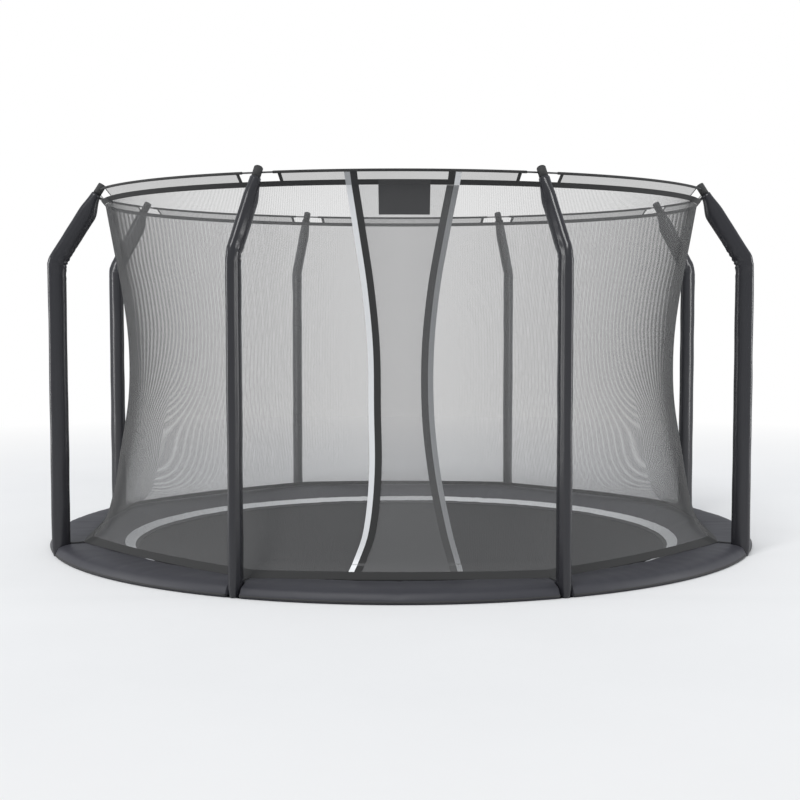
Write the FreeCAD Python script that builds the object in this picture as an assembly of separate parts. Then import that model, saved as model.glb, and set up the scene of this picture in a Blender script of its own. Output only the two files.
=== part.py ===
"""Round garden trampoline sunk to lawn height, with a waisted safety net on eight padded poles.

Millimetres, Z up, front (the entrance) towards -Y. The origin is on the axis, on the floor
of the pit, under the foot plates. Azimuths run from the front, positive towards +X.
"""
import FreeCAD, Part
import math
import os

V = FreeCAD.Vector

# Steel ring and its joints
RING_RADIUS = 1809.0
RING_TUBE = 42.0
RING_WALL = 1.5
RING_CENTRE_Z = 179.0
RING_END_GAP = 2.0
CHORDS_PER_SEGMENT = 9
JOINT_WALL = 2.5
JOINT_REACH = 60.0
JOINT_SOCKET_Z = 138.0
POST_SHOULDER = 8.0

# Legs
LEG_COUNT = 4
LEG_TUBE = 42.0
LEG_WALL = 1.5
LEG_BEND = 60.0
FOOT_THICK = 4.0
FOOT_LENGTH = 110.0
FOOT_WIDTH = 90.0
FOOT_HOLE = 13.0
FOOT_HOLE_INSET = 12.0

# Poles, sleeves and hoop
POLE_COUNT = 8
POLE_TUBE = 38.0
POLE_WALL = 1.5
POLE_BOTTOM_Z = 40.0
POLE_JOINT_Z = 1180.0
SPIGOT_LENGTH = 80.0
POLE_BEND_Z = 1634.0
POLE_BEND = 110.0
HOOP_INSET = 184.0
HOOP_Z = 1993.0
HOOP_ROD = 8.0
ROD_END_GAP = 1.0
CAP_WALL = 1.5
CAP_SKIRT = 22.0
CAP_SEAT = 9.0
CAP_END = 29.0
ROD_CLEAR = 0.5
SLEEVE_DEPTH = 92.0
SLEEVE_WIDTH = 58.0
SLEEVE_OFFSET = 12.5
SLEEVE_BORE = 43.0
SLEEVE_NECK = 53.0
SLEEVE_TAPER = 45.0
LAWN_Z = 165.0

# Clamps
CLAMP_WALL = 3.5
CLAMP_HEIGHT = 36.0
CLAMP_Z = 114.0
CLAMP_EAR = 24.0
CLAMP_EAR_WIDTH = 14.0
BOLT = 8.0
BOLT_HEAD = 13.0
BOLT_HEAD_HEIGHT = 5.5
BOLT_TAIL = 4.0

# Mat, triangular rings and springs
SPRING_SPAN = 249.0
MAT_TOP_Z = 131.0
MAT_THICK = 3.0
VRING_LENGTH = 34.0
VRING_WIDTH = 36.0
VRING_WIRE = 5.0
SPRING_BODY = 22.0
SPRING_TAPER_OUTER = 26.0
SPRING_TAPER_INNER = 20.0

# Safety pad, from the rim over the ring to the inner hem
PAD_OVERHANG = 66.0
PAD_RIM_HEIGHT = 14.0
PAD_RIM_SLOPE = 17.0
PAD_TURN_HEIGHT = 44.0
PAD_CREST_INSET = 9.0
PAD_CREST_WIDTH = 138.0
PAD_CREST_HEIGHT = 60.0
PAD_SHOULDER = 38.0
PAD_SLOPE = 130.0
PAD_BAND_WIDTH = 55.0
PAD_HEM_WIDTH = 19.0
PAD_HEM_THICK = 6.0
PAD_FOAM = 22.0
PAD_CHORDS = 5
SOFT_GAP = 0.5

# Net
NET_THICK = 1.2
HEM_HEIGHT = 28.0
RIBBON_HEIGHT = 22.0
BAND_HEIGHT = 32.0
BAND_THICK = 1.6
WINDOW_HALF = 95.0
NET_CHORDS = 4
# Height above the lawn, inset from the ring midway between two poles, inset at a pole
NET_PROFILE = [
    (62.0, 171.0, 78.0),
    (120.0, 224.0, 169.0),
    (256.0, 264.0, 231.0),
    (509.0, 309.0, 280.0),
    (780.0, 345.0, 335.0),
    (1060.0, 345.0, 345.0),
    (1330.0, 314.0, 314.0),
    (1560.0, 273.0, 273.0),
]
RIBBON_INSET = 237.0
STRAP_WIDTH = 22.0
STRAP_THICK = 2.0

# Entrance: height above the lawn and half opening of the outer and the inner edge
ENTRANCE_EDGES = [
    (62.0, 238.0, 283.0),
    (120.0, 208.0, 267.0),
    (256.0, 161.0, 230.0),
    (509.0, 136.0, 180.0),
    (780.0, 139.0, 152.0),
    (1060.0, 143.0, 152.0),
    (1330.0, 167.0, 178.0),
    (1560.0, 200.0, 218.0),
]
ENTRANCE_TOP_OUTER = 232.0
ENTRANCE_TOP_INNER = 259.0
FLAP_OVERLAP_GAP = 7.0
EDGE_WIDTH = 55.0
EDGE_THICK = 1.2
EDGE_LIFT = 0.8
LABEL_LEFT = -92.0
LABEL_RIGHT = 132.0
LABEL_HEIGHT = 149.0
LABEL_THICK = 1.0
LABEL_LIFT = 0.8

FRAME_SIDES = 8
POLE_SIDES = 10
ROD_SIDES = 6

SEGMENT = 360.0 / POLE_COUNT
JOINT_OUTER = RING_TUBE + 2 * JOINT_WALL
LEG_AXIS_Z = FOOT_THICK + LEG_TUBE / 2
POST_TOP_Z = RING_CENTRE_Z - RING_TUBE / 2 - POST_SHOULDER
JOINT_CORNER = JOINT_OUTER / 2 / math.cos(math.pi / FRAME_SIDES)
POLE_RADIUS = RING_RADIUS + JOINT_CORNER + POLE_TUBE / 2
HOOP_RADIUS = RING_RADIUS - HOOP_INSET
MAT_RADIUS = RING_RADIUS - SPRING_SPAN
RIBBON_RADIUS = RING_RADIUS - RIBBON_INSET
HOOP_RISE = V(HOOP_RADIUS - POLE_RADIUS, 0, HOOP_Z - POLE_BEND_Z)
HOOP_DISTANCE = HOOP_RISE.Length
LEAN = HOOP_RISE * (1 / HOOP_DISTANCE)
RIBBON_TOP_Z = HOOP_Z - HOOP_ROD / 2 - BAND_HEIGHT
RIBBON_BOTTOM_Z = RIBBON_TOP_Z - RIBBON_HEIGHT
SLEEVE_INNER = SLEEVE_OFFSET + SLEEVE_DEPTH / 2


def at(azimuth, radius, z):
    """Point at an azimuth in degrees from the front."""
    turn = math.radians(azimuth)
    return V(radius * math.sin(turn), -radius * math.cos(turn), z)


def pole_azimuths():
    return [SEGMENT * (k + 0.5) for k in range(POLE_COUNT)]


def save(name, *solids):
    shape = solids[0] if len(solids) == 1 else Part.makeCompound(list(solids))
    shape.exportStep("parts/" + name + ".step")
    print(name, len(shape.Solids), round(shape.Volume / 1000.0, 1), "cm3")


def ring_of(centre, along, flats, sides, reference):
    """Corners round a centre, square to along, with flats at half the width."""
    across = along.cross(reference).normalize()
    upward = across.cross(along).normalize()
    corner = flats / 2 / math.cos(math.pi / sides)
    points = []
    for k in range(sides):
        turn = 2 * math.pi * (k + 0.5) / sides
        points.append(centre + across * (corner * math.cos(turn)) + upward * (corner * math.sin(turn)))
    return points


def bar(points, width, reference, sides=FRAME_SIDES):
    """Solid bar along a polyline with mitred corners."""
    along = (points[1] - points[0]).normalize()
    corners = ring_of(points[0], along, width, sides, reference)
    outline = Part.makePolygon(corners + corners[:1])
    return Part.makePolygon(points).makePipeShell([outline], True, False, 1)


def tube(points, width, wall, reference, sides=FRAME_SIDES):
    outer = bar(points, width, reference, sides)
    return outer.cut(bar(points, width - 2 * wall, reference, sides))


def flat_face(points):
    return Part.Face(Part.makePolygon(points + points[:1]))


def solid_of(faces):
    shell = Part.Shell(faces)
    shell.sewShape()
    solid = Part.Solid(shell)
    return solid if solid.Volume > 0 else solid.reversed()


def facets(first, second):
    """Triangles between two outlines with as many points, split on the shorter diagonal."""
    faces = []
    for k in range(len(first)):
        a, b, c, d = first[k], first[(k + 1) % len(first)], second[(k + 1) % len(first)], second[k]
        if a.distanceToPoint(c) < b.distanceToPoint(d):
            faces += [flat_face([a, b, c]), flat_face([a, c, d])]
        else:
            faces += [flat_face([a, b, d]), flat_face([b, c, d])]
    return faces


def skin(outlines):
    """Closed solid through flat outlines, with flat triangles between them."""
    faces = [flat_face(outlines[0]), flat_face(outlines[-1])]
    for first, second in zip(outlines, outlines[1:]):
        faces += facets(first, second)
    return solid_of(faces)


def bend_corner(before, corner, after, radius):
    """Two points that cut a corner where a bend of this radius starts and ends."""
    to_before = (before - corner).normalize()
    to_after = (after - corner).normalize()
    half = to_before.getAngle(to_after) / 2
    reach = radius / math.tan(half)
    return [corner + to_before * reach, corner + to_after * reach]


def block(centre, azimuth, radial, tangential, height):
    """Box centred on a point, turned to an azimuth."""
    box = Part.makeBox(tangential, radial, height, V(-tangential / 2, -radial / 2, -height / 2))
    box.rotate(V(0, 0, 0), V(0, 0, 1), azimuth)
    box.translate(centre)
    return box


def ring_points(azimuth):
    """Corners of the ring's centre line from one pole to the next."""
    step = SEGMENT / CHORDS_PER_SEGMENT
    return [at(azimuth + step * k, RING_RADIUS, RING_CENTRE_Z) for k in range(CHORDS_PER_SEGMENT + 1)]


def ring_segment(azimuth):
    points = ring_points(azimuth)
    trim = RING_END_GAP / 2
    points[0] = points[0] + (points[1] - points[0]).normalize() * trim
    points[-1] = points[-1] + (points[-2] - points[-1]).normalize() * trim
    return tube(points, RING_TUBE, RING_WALL, V(0, 0, 1))


def t_joint(azimuth):
    """Sleeve over two ring ends with a socket for the leg post."""
    middle, next_corner = ring_points(azimuth)[:2]
    last_corner = ring_points(azimuth - SEGMENT)[-2]
    before = (last_corner - middle).normalize()
    after = (next_corner - middle).normalize()
    path = [middle + before * JOINT_REACH, middle, middle + after * JOINT_REACH]
    axis = V(middle.x, middle.y, 0)
    socket_foot = axis + V(0, 0, JOINT_SOCKET_Z)
    post_top = axis + V(0, 0, POST_TOP_Z)
    sleeve = bar(path, JOINT_OUTER, V(0, 0, 1))
    socket = bar([socket_foot, middle], LEG_TUBE + 2 * JOINT_WALL, V(1, 0, 0))
    joint = sleeve.fuse(socket)
    joint = joint.cut(bar(path, RING_TUBE, V(0, 0, 1)))
    return joint.cut(bar([socket_foot, post_top], LEG_TUBE, V(1, 0, 0)))


def leg(azimuth):
    """U of bent tube under two joints, on two drilled foot plates."""
    half = SEGMENT / 2
    left = at(azimuth - half, RING_RADIUS, LEG_AXIS_Z)
    right = at(azimuth + half, RING_RADIUS, LEG_AXIS_Z)
    left_top = V(left.x, left.y, POST_TOP_Z)
    right_top = V(right.x, right.y, POST_TOP_Z)
    path = [left_top]
    path += bend_corner(left_top, left, right, LEG_BEND)
    path += bend_corner(left, right, right_top, LEG_BEND)
    path.append(right_top)
    shape = tube(path, LEG_TUBE, LEG_WALL, at(azimuth, 1, 0))
    across = (right - left).normalize()
    for side, corner in ((1, left), (-1, right)):
        start = corner + across * (side * (LEG_BEND + FOOT_LENGTH / 2))
        middle = V(start.x, start.y, FOOT_THICK / 2)
        plate = block(middle, azimuth, FOOT_WIDTH, FOOT_LENGTH, FOOT_THICK)
        outward = at(azimuth, FOOT_WIDTH / 2 - FOOT_HOLE_INSET, 0)
        for way in (1, -1):
            hole_foot = V(start.x, start.y, 0) + outward * way
            hole = [hole_foot, hole_foot + V(0, 0, FOOT_THICK)]
            plate = plate.cut(bar(hole, FOOT_HOLE, V(1, 0, 0), ROD_SIDES))
        shape = shape.fuse(plate)
    return shape


def pole_point(azimuth, distance):
    """Point on the leaning part of a pole's axis, at a distance past the bend."""
    return at(azimuth, POLE_RADIUS + LEAN.x * distance, POLE_BEND_Z + LEAN.z * distance)


def pole_path(azimuth, bottom_z, distance):
    bottom = at(azimuth, POLE_RADIUS, bottom_z)
    top = pole_point(azimuth, distance)
    return [bottom] + bend_corner(bottom, pole_point(azimuth, 0), top, POLE_BEND) + [top]


def tangent(azimuth):
    return at(azimuth + 90, 1, 0)


def pole_lower(azimuth):
    path = [at(azimuth, POLE_RADIUS, POLE_BOTTOM_Z), at(azimuth, POLE_RADIUS, POLE_JOINT_Z)]
    return tube(path, POLE_TUBE, POLE_WALL, tangent(azimuth), POLE_SIDES)


def pole_upper(azimuth):
    """Bent top half of a pole with a spigot that slides into the lower half."""
    top = HOOP_DISTANCE - CAP_SEAT
    path = pole_path(azimuth, POLE_JOINT_Z, top)
    body = tube(path, POLE_TUBE, POLE_WALL, tangent(azimuth), POLE_SIDES)
    shoulder = at(azimuth, POLE_RADIUS, POLE_JOINT_Z)
    spigot = [shoulder - V(0, 0, SPIGOT_LENGTH), shoulder + V(0, 0, POLE_WALL)]
    return body.fuse(bar(spigot, POLE_TUBE - 2 * POLE_WALL, tangent(azimuth), POLE_SIDES))


def sleeve_outline(azimuth, point, before, after, size):
    """Oval across the pole's axis, set in towards the net and mitred where the axis turns."""
    depth, width, set_in = size
    along = (before + after).normalize()
    inward = along.cross(tangent(azimuth)) * (1 / along.dot(after))
    inward = inward if inward.dot(at(azimuth, 1, 0)) < 0 else inward * -1
    corners = []
    for k in range(POLE_SIDES):
        turn = 2 * math.pi * (k + 0.5) / POLE_SIDES
        reach = set_in + depth / 2 / math.cos(math.pi / POLE_SIDES) * math.cos(turn)
        corners.append(point + inward * reach + tangent(azimuth) * (width / 2 * math.sin(turn)))
    return corners


def pole_sleeve(azimuth):
    """Oval foam sheath, drawn in at its top and relieved where it meets the ring joint."""
    top = HOOP_DISTANCE - CAP_SEAT - CAP_SKIRT - SOFT_GAP
    path = pole_path(azimuth, LAWN_Z + SOFT_GAP, top)
    bore = bar(path, SLEEVE_BORE, tangent(azimuth), POLE_SIDES)
    path.insert(-1, pole_point(azimuth, top - SLEEVE_TAPER))
    ways = [(b - a).normalize() for a, b in zip(path, path[1:])]
    full = (SLEEVE_DEPTH, SLEEVE_WIDTH, SLEEVE_OFFSET)
    sizes = [full] * (len(path) - 1) + [(SLEEVE_NECK, SLEEVE_NECK, 0)]
    stations = zip(path, ways[:1] + ways, ways + ways[-1:], sizes)
    sheath = skin([sleeve_outline(azimuth, *station) for station in stations])
    joint_face = RING_RADIUS + JOINT_CORNER + SOFT_GAP
    relief_height = RING_CENTRE_Z + JOINT_CORNER + 3 * SOFT_GAP - LAWN_Z
    centre = at(azimuth, joint_face - SLEEVE_DEPTH / 2, LAWN_Z + relief_height / 2)
    relief = block(centre, azimuth, SLEEVE_DEPTH, 2 * SLEEVE_DEPTH, relief_height)
    return sheath.cut(bore).cut(relief)


def rod_passage(azimuth):
    """Hole for the two rod ends that meet in a cap."""
    step = SEGMENT / NET_CHORDS
    middle = at(azimuth, HOOP_RADIUS, HOOP_Z)
    before = (at(azimuth - step, HOOP_RADIUS, HOOP_Z) - middle).normalize()
    after = (at(azimuth + step, HOOP_RADIUS, HOOP_Z) - middle).normalize()
    path = [middle + before * POLE_TUBE, middle, middle + after * POLE_TUBE]
    return bar(path, HOOP_ROD + 2 * ROD_CLEAR, V(0, 0, 1), ROD_SIDES)


def pole_cap(azimuth):
    """Plastic cap over the pole end; the hoop passes through it."""
    tube_end = pole_point(azimuth, HOOP_DISTANCE - CAP_SEAT)
    skirt = pole_point(azimuth, HOOP_DISTANCE - CAP_SEAT - CAP_SKIRT)
    end = pole_point(azimuth, HOOP_DISTANCE + CAP_END)
    reference = tangent(azimuth)
    cap = bar([skirt, end], POLE_TUBE + 2 * CAP_WALL, reference, POLE_SIDES)
    cap = cap.cut(bar([skirt, tube_end], POLE_TUBE, reference, POLE_SIDES))
    return cap.cut(rod_passage(azimuth))


def hoop_rod(azimuth):
    """Fibreglass rod from one pole cap to the next."""
    step = SEGMENT / NET_CHORDS
    points = [at(azimuth + step * k, HOOP_RADIUS, HOOP_Z) for k in range(NET_CHORDS + 1)]
    trim = ROD_END_GAP / 2
    points[0] = points[0] + (points[1] - points[0]).normalize() * trim
    points[-1] = points[-1] + (points[-2] - points[-1]).normalize() * trim
    return bar(points, HOOP_ROD, V(0, 0, 1), ROD_SIDES)


def ear_radius():
    return RING_RADIUS - LEG_TUBE / 2 - CLAMP_WALL - CLAMP_EAR / 2


def clamp_outline(azimuth, z):
    """Plan of the clamp: a narrow ear, then wide round the post and the pole, drawn in at the end."""
    ear = CLAMP_EAR_WIDTH / 2
    post = LEG_TUBE / 2 + CLAMP_WALL
    pole = POLE_TUBE / 2 + CLAMP_WALL
    half_plan = [
        (ear_radius() - CLAMP_EAR / 2, ear),
        (RING_RADIUS - post, ear),
        (RING_RADIUS - post / 2, post),
        (RING_RADIUS + post / 2, post),
        (POLE_RADIUS + pole / 2, pole),
        (POLE_RADIUS + pole, pole / 2),
    ]
    plan = half_plan + [(radius, -side) for radius, side in half_plan[::-1]]
    return [at(azimuth, radius, z) + tangent(azimuth) * side for radius, side in plan]


def pole_clamp(azimuth):
    """Bracket round the leg post and the pole, closed by a bolt through its ear."""
    low = CLAMP_Z - CLAMP_HEIGHT / 2
    high = CLAMP_Z + CLAMP_HEIGHT / 2
    post = [at(azimuth, RING_RADIUS, z) for z in (low, high)]
    pole = [at(azimuth, POLE_RADIUS, z) for z in (low, high)]
    shape = flat_face(clamp_outline(azimuth, low)).extrude(V(0, 0, CLAMP_HEIGHT))
    shape = shape.cut(bar(post, LEG_TUBE, V(1, 0, 0)))
    shape = shape.cut(bar(pole, POLE_TUBE, tangent(azimuth), POLE_SIDES))
    return shape.cut(bar(ear_axis(azimuth), BOLT, V(0, 0, 1), ROD_SIDES))


def ear_axis(azimuth):
    """Axis of the bolt, from one face of the ear to the other."""
    centre = at(azimuth, ear_radius(), CLAMP_Z)
    reach = tangent(azimuth) * (CLAMP_EAR_WIDTH / 2)
    return [centre - reach, centre + reach]


def clamp_bolt(azimuth):
    """Bolt with head and nut through a clamp's ear."""
    along = tangent(azimuth)
    start, end = ear_axis(azimuth)
    shank = bar([start, end + along * (BOLT_HEAD_HEIGHT + BOLT_TAIL)], BOLT, V(0, 0, 1), ROD_SIDES)
    head = bar([start - along * BOLT_HEAD_HEIGHT, start], BOLT_HEAD, V(0, 0, 1), ROD_SIDES)
    nut = bar([end, end + along * BOLT_HEAD_HEIGHT], BOLT_HEAD, V(0, 0, 1), ROD_SIDES)
    return shank.fuse([head, nut])


def spring_azimuths():
    step = SEGMENT / CHORDS_PER_SEGMENT
    return [step * (k + 0.5) + SEGMENT / 2 for k in range(POLE_COUNT * CHORDS_PER_SEGMENT)]


def jumping_mat():
    """Woven disc with one flat at each spring."""
    step = SEGMENT / CHORDS_PER_SEGMENT
    corner = MAT_RADIUS / math.cos(math.radians(step / 2))
    bottom = MAT_TOP_Z - MAT_THICK
    corners = [at(a - step / 2, corner, bottom) for a in spring_azimuths()]
    outline = Part.makePolygon(corners + corners[:1])
    return Part.Face(outline).extrude(V(0, 0, MAT_THICK))


def mat_ring(azimuth):
    """Triangular wire loop sewn to the mat's edge."""
    z = MAT_TOP_Z - MAT_THICK / 2 - VRING_WIRE / 2
    loops = []
    for inset in (0, VRING_WIRE):
        width = VRING_WIDTH / 2 - inset * 1.3
        side = tangent(azimuth) * width
        base = at(azimuth, MAT_RADIUS + inset, z)
        tip = at(azimuth, MAT_RADIUS + VRING_LENGTH - inset * 1.6, z)
        loops.append(Part.Face(Part.makePolygon([base - side, base + side, tip, base - side])))
    flat = loops[0].cut(loops[1])
    return flat.extrude(V(0, 0, VRING_WIRE))


def spring(azimuth):
    """Closed-wound spring shown as its body, drawn in to the hooks at its ends."""
    ring_face = RING_RADIUS * math.cos(math.radians(SEGMENT / CHORDS_PER_SEGMENT / 2)) - RING_TUBE / 2
    start = at(azimuth, ring_face, RING_CENTRE_Z)
    end = at(azimuth, MAT_RADIUS + VRING_LENGTH, MAT_TOP_Z - MAT_THICK / 2)
    along = (end - start).normalize()
    start = start + along * SOFT_GAP
    end = end - along * SOFT_GAP
    body_start = start + along * SPRING_TAPER_OUTER
    body_end = end - along * SPRING_TAPER_INNER
    outer = ring_of(body_start, along, SPRING_BODY, ROD_SIDES, tangent(azimuth))
    inner = ring_of(body_end, along, SPRING_BODY, ROD_SIDES, tangent(azimuth))
    faces = facets(outer, inner)
    for tip, ring in ((start, outer), (end, inner)):
        faces += [flat_face([tip, a, b]) for a, b in zip(ring, ring[1:] + ring[:1])]
    return solid_of(faces)


def pad_section():
    """Radius and height of each corner of the pad, from the rim over the crest and back under."""
    crest = LAWN_Z + PAD_CREST_HEIGHT
    under = RING_CENTRE_Z + JOINT_CORNER + SOFT_GAP
    hem_under = MAT_TOP_Z + 4 * SOFT_GAP
    hem_top = hem_under + PAD_HEM_THICK
    band_outer_z = LAWN_Z + SOFT_GAP
    band_inner_z = hem_top + (band_outer_z - hem_top) * 0.3
    half_step = math.radians(SEGMENT / PAD_CHORDS / 2)
    skirt = (RING_RADIUS + JOINT_CORNER + SOFT_GAP) / math.cos(half_step)
    rim = RING_RADIUS + PAD_OVERHANG
    crest_outer = RING_RADIUS - PAD_CREST_INSET
    crest_inner = crest_outer - PAD_CREST_WIDTH
    shoulder = crest_inner - PAD_SHOULDER
    band_outer = shoulder - PAD_SLOPE
    band_inner = band_outer - PAD_BAND_WIDTH
    hem = band_inner - PAD_HEM_WIDTH
    return [
        (rim, LAWN_Z),
        (rim, LAWN_Z + PAD_RIM_HEIGHT),
        (rim - PAD_RIM_SLOPE, LAWN_Z + PAD_TURN_HEIGHT),
        (crest_outer, crest),
        (crest_inner, crest),
        (shoulder, crest - PAD_FOAM / 4),
        (band_outer, band_outer_z),
        (band_inner, band_inner_z),
        (hem, hem_top),
        (hem, hem_under),
        (band_outer, band_outer_z - PAD_FOAM),
        (shoulder, under - PAD_FOAM / 4),
        (crest_inner, under),
        (skirt, under),
        (skirt, LAWN_Z),
    ]


def pad_notch(azimuth):
    """Slot in from the rim, with its corners cut off round the sleeve."""
    half = SLEEVE_WIDTH / 2 + SOFT_GAP
    end = POLE_RADIUS - SLEEVE_INNER - SOFT_GAP
    low = LAWN_Z - SLEEVE_DEPTH
    mouth = POLE_RADIUS + SLEEVE_DEPTH
    half_plan = [(end, half / 2), (end + half / 2, half), (mouth, half)]
    plan = half_plan + [(radius, -side) for radius, side in half_plan[::-1]]
    outline = [at(azimuth, radius, low) + tangent(azimuth) * side for radius, side in plan]
    return flat_face(outline).extrude(V(0, 0, 3 * SLEEVE_DEPTH))


def pad_sector(azimuth):
    """Pad round one pole, from midway on one side to midway on the other, less the notch."""
    outlines = []
    for angle in spread(azimuth - SEGMENT / 2, azimuth + SEGMENT / 2, PAD_CHORDS):
        outlines.append([at(angle, radius, z) for radius, z in pad_section()])
    return skin(outlines).removeSplitter().cut(pad_notch(azimuth))


def safety_pad():
    """Foam ring that covers the springs, notched round each pole sleeve."""
    sectors = [pad_sector(azimuth) for azimuth in pole_azimuths()]
    return sectors[0].fuse(sectors[1:]).removeSplitter()


def between(low, high, share):
    """Values a share of the way from one level to the next."""
    return tuple(a + (b - a) * share for a, b in zip(low, high))


def net_levels():
    """Height, radius midway and radius at a pole: hem, top of the hem's webbing, up to the ribbon."""
    levels = [(LAWN_Z + height, RING_RADIUS - middle, RING_RADIUS - corner) for height, middle, corner in NET_PROFILE]
    share = HEM_HEIGHT / (levels[1][0] - levels[0][0])
    levels.insert(1, between(levels[0], levels[1], share))
    return levels + [(RIBBON_BOTTOM_Z, RIBBON_RADIUS, RIBBON_RADIUS)]


def net_radius(level, azimuth):
    """Radius of the net at a level, round at the top and eight-sided at the hem."""
    z, middle, corner = level
    from_middle = (azimuth + SEGMENT / 2) % SEGMENT - SEGMENT / 2
    share = abs(from_middle) / (SEGMENT / 2)
    return middle + (corner - middle) * share ** 2


def net_strip(level, azimuths, insets, thick):
    """Outline of a wall of the net at one level, its outer face inset at each azimuth."""
    radii = [net_radius(level, a) - inset for a, inset in zip(azimuths, insets)]
    outer = [at(a, radius, level[0]) for a, radius in zip(azimuths, radii)]
    inner = [at(a, radius - thick, level[0]) for a, radius in zip(azimuths, radii)]
    return outer + inner[::-1]


def spread(start, end, steps):
    return [start + (end - start) * k / steps for k in range(steps + 1)]


def panel_azimuths(azimuth):
    return spread(azimuth - SEGMENT / 2, azimuth + SEGMENT / 2, NET_CHORDS)


def net_wall(levels, azimuths_at, insets, lift, thick):
    """Wall through the levels, lifted outwards from the net's own outer face."""
    raised = [inset - lift for inset in insets]
    outlines = [net_strip(level, azimuths_at(level), raised, thick) for level in levels]
    return skin(outlines)


def net_panel(azimuth):
    """Net from one pole to the next."""
    return net_wall(net_levels(), lambda level: panel_azimuths(azimuth), [0] * (NET_CHORDS + 1), 0, NET_THICK)


def net_hem(azimuth):
    """Webbing round the foot of one net panel."""
    levels = net_levels()[:2]
    flat = [0] * (NET_CHORDS + 1)
    return net_wall(levels, lambda level: panel_azimuths(azimuth), flat, EDGE_THICK, EDGE_THICK)


def edge_azimuth(level, offset):
    return math.degrees(math.asin(offset / level[1]))


def entrance_offset(level, side):
    """Sideways distance of a flap's free edge at a level, between the listed heights."""
    rows = [(LAWN_Z + height, outer, inner) for height, outer, inner in ENTRANCE_EDGES]
    rows.append((RIBBON_BOTTOM_Z, ENTRANCE_TOP_OUTER, ENTRANCE_TOP_INNER))
    for low, high in zip(rows, rows[1:]):
        if level[0] <= high[0]:
            break
    row = between(low, high, (level[0] - low[0]) / (high[0] - low[0]))
    return row[1] if side == 1 else row[2]


def flap_azimuths(level, side):
    free_edge = -side * edge_azimuth(level, entrance_offset(level, side))
    return spread(free_edge, side * SEGMENT / 2, NET_CHORDS)


def flap_insets(side):
    """The inner flap runs behind the outer one and comes forward to its pole."""
    if side == 1:
        return [0] * (NET_CHORDS + 1)
    half = NET_CHORDS / 2
    return [FLAP_OVERLAP_GAP * min(1, (NET_CHORDS - k) / half) for k in range(NET_CHORDS + 1)]


def entrance_flap(side):
    """Flap that hangs from one pole past the middle; side 1 is the outer, -1 the inner one."""
    return net_wall(net_levels(), lambda level: flap_azimuths(level, side), flap_insets(side), 0, NET_THICK)


def flap_hem(side):
    levels = net_levels()[:2]
    insets = flap_insets(side)
    return net_wall(levels, lambda level: flap_azimuths(level, side), insets, EDGE_THICK, EDGE_THICK)


def entrance_edge(side):
    """Webbing along a flap's free edge, on its outer face above the hem."""
    levels = net_levels()[1:]

    def azimuths_at(level):
        offset = entrance_offset(level, side)
        start = -side * edge_azimuth(level, offset)
        return [start, -side * edge_azimuth(level, offset - EDGE_WIDTH)]

    inset = flap_insets(side)[0]
    return net_wall(levels, azimuths_at, [inset, inset], EDGE_THICK + EDGE_LIFT, EDGE_THICK)


def net_strap(azimuth):
    """Strap that draws a corner of the net down to the pole."""
    hem_z, _, corner = net_levels()[0]
    start = at(azimuth, corner + EDGE_THICK, hem_z + STRAP_THICK)
    end = at(azimuth, POLE_RADIUS - SLEEVE_INNER - SOFT_GAP, LAWN_Z + PAD_CREST_HEIGHT + STRAP_THICK)
    side = tangent(azimuth) * (STRAP_WIDTH / 2)
    lift = V(0, 0, STRAP_THICK / 2)
    outlines = []
    for point in (start, end):
        outlines.append([point - side - lift, point + side - lift, point + side + lift, point - side + lift])
    return skin(outlines)


def band_level(z, radius):
    return (z, radius, radius)


def hoop_radius(azimuth):
    """Radius of the rods' centre line, which is straight from corner to corner."""
    step = SEGMENT / NET_CHORDS
    from_middle = (azimuth - SEGMENT / 2) % step - step / 2
    return HOOP_RADIUS * math.cos(math.radians(step / 2)) / math.cos(math.radians(from_middle))


def net_top_band(azimuth):
    """Strip of net between the hoop and the ribbon, cut away beside each pole."""
    window = math.degrees(WINDOW_HALF / HOOP_RADIUS)
    corners = panel_azimuths(azimuth)
    edge = [corners[0] + window] + corners[1:-1] + [corners[-1] - window]
    ribbon = band_level(RIBBON_TOP_Z, RIBBON_RADIUS)
    hoop = band_level(HOOP_Z, HOOP_RADIUS)
    rod_insets = [HOOP_RADIUS - hoop_radius(a) + HOOP_ROD / 2 + SOFT_GAP for a in edge]
    flat = [0] * (NET_CHORDS + 1)
    return skin([net_strip(ribbon, edge, flat, BAND_THICK), net_strip(hoop, edge, rod_insets, BAND_THICK)])


def net_ribbon(azimuth):
    """Ribbon along the lower edge of the top band."""
    levels = [band_level(z, RIBBON_RADIUS) for z in (RIBBON_BOTTOM_Z, RIBBON_TOP_Z)]
    flat = [0] * (NET_CHORDS + 1)
    return net_wall(levels, lambda level: panel_azimuths(azimuth), flat, 0, BAND_THICK)


def label_patch():
    """Blank sewn patch over the ribbon, above the entrance."""
    top = band_level(RIBBON_TOP_Z, RIBBON_RADIUS)
    ribbon = band_level(RIBBON_BOTTOM_Z, RIBBON_RADIUS)
    below, above = net_levels()[-2:]
    share = (LABEL_HEIGHT - RIBBON_HEIGHT) / (above[0] - below[0])
    foot = between(above, below, share)

    def azimuths_at(level):
        return [edge_azimuth(level, LABEL_LEFT), 0, edge_azimuth(level, LABEL_RIGHT)]

    lift = LABEL_THICK + LABEL_LIFT
    return net_wall([foot, ribbon, top], azimuths_at, [0, 0, 0], lift, LABEL_THICK)


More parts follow.
